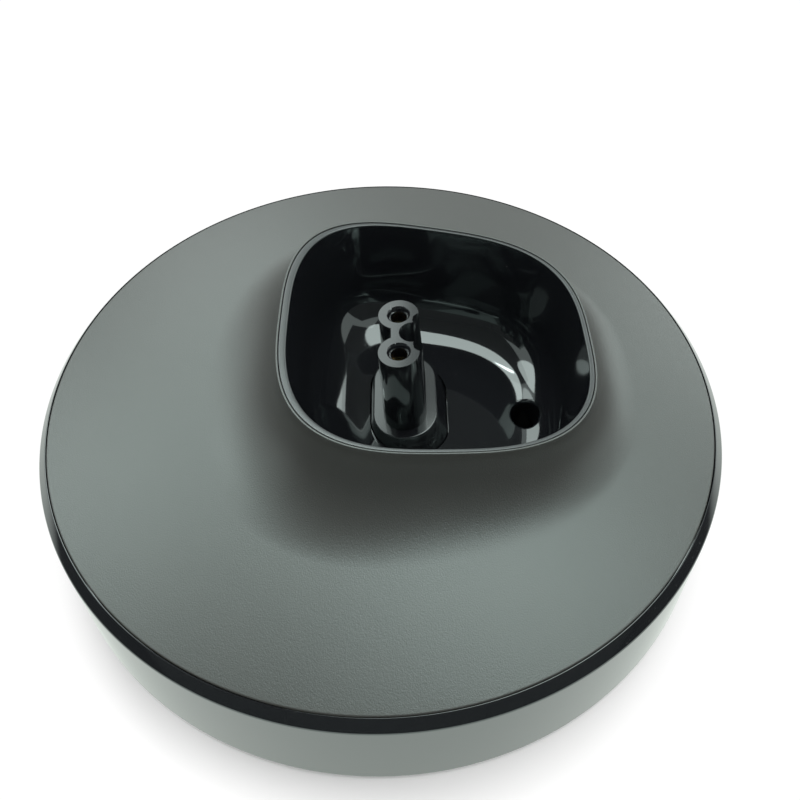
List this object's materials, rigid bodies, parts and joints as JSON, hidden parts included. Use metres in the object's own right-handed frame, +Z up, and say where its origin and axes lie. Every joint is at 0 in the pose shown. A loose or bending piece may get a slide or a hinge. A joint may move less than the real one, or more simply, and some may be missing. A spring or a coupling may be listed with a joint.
{
  "type": "shaver charging stand",
  "caption": "Round weighted charging stand: a matte domed cover flares up into a leaning rounded-square cradle with a keyed plug post, a drain and a rear inlet.",
  "frame": {"origin": "centre of the round base on the table, at the underside of the feet", "axes": "+Z up; -Y towards the front, where the cradle sits off centre; +Y towards the inlet at the back; +X to the right seen from the front"},
  "size_m": [0.117, 0.117, 0.0371],
  "materials": {
    "cover_matte": "fine spark-eroded texture, matte near-black with a warm tint",
    "gloss_shell": "polished moulded black plastic",
    "base_plastic": "moulded black plastic with a light texture",
    "plug_plastic": "semi-gloss black plastic",
    "seal_rubber": "black silicone rubber",
    "bracket_plastic": "grey glass-filled plastic",
    "contact_brass": "gold-plated turned brass",
    "screw_steel": "zinc-plated steel",
    "inlet_plastic": "moulded black plastic",
    "pin_nickel": "nickel-plated brass",
    "lead_blue": "blue PVC insulation",
    "lead_brown": "brown PVC insulation",
    "weight_steel": "punched zinc-plated steel plate",
    "foot_rubber": "dark soft rubber"
  },
  "bodies": {
    "root": {"top_cover": "cover_matte", "cradle_cup": "gloss_shell", "side_ring": "gloss_shell", "bottom_plate": "base_plastic", "connector_post": "plug_plastic", "connector_seal": "seal_rubber", "contact_bracket": "bracket_plastic", "contact_left": "contact_brass", "contact_right": "contact_brass", "bracket_screws": "screw_steel", "cradle_screws": "screw_steel", "inlet_housing": "inlet_plastic", "inlet_pin_left": "pin_nickel", "inlet_pin_right": "pin_nickel", "lead_left": "lead_blue", "lead_right": "lead_brown", "ballast_weight": "weight_steel", "weight_screws": "screw_steel", "housing_screws": "screw_steel", "foot_front_left": "foot_rubber", "foot_front_right": "foot_rubber", "foot_rear_left": "foot_rubber", "foot_rear_right": "foot_rubber"}
  },
  "joints": []
}
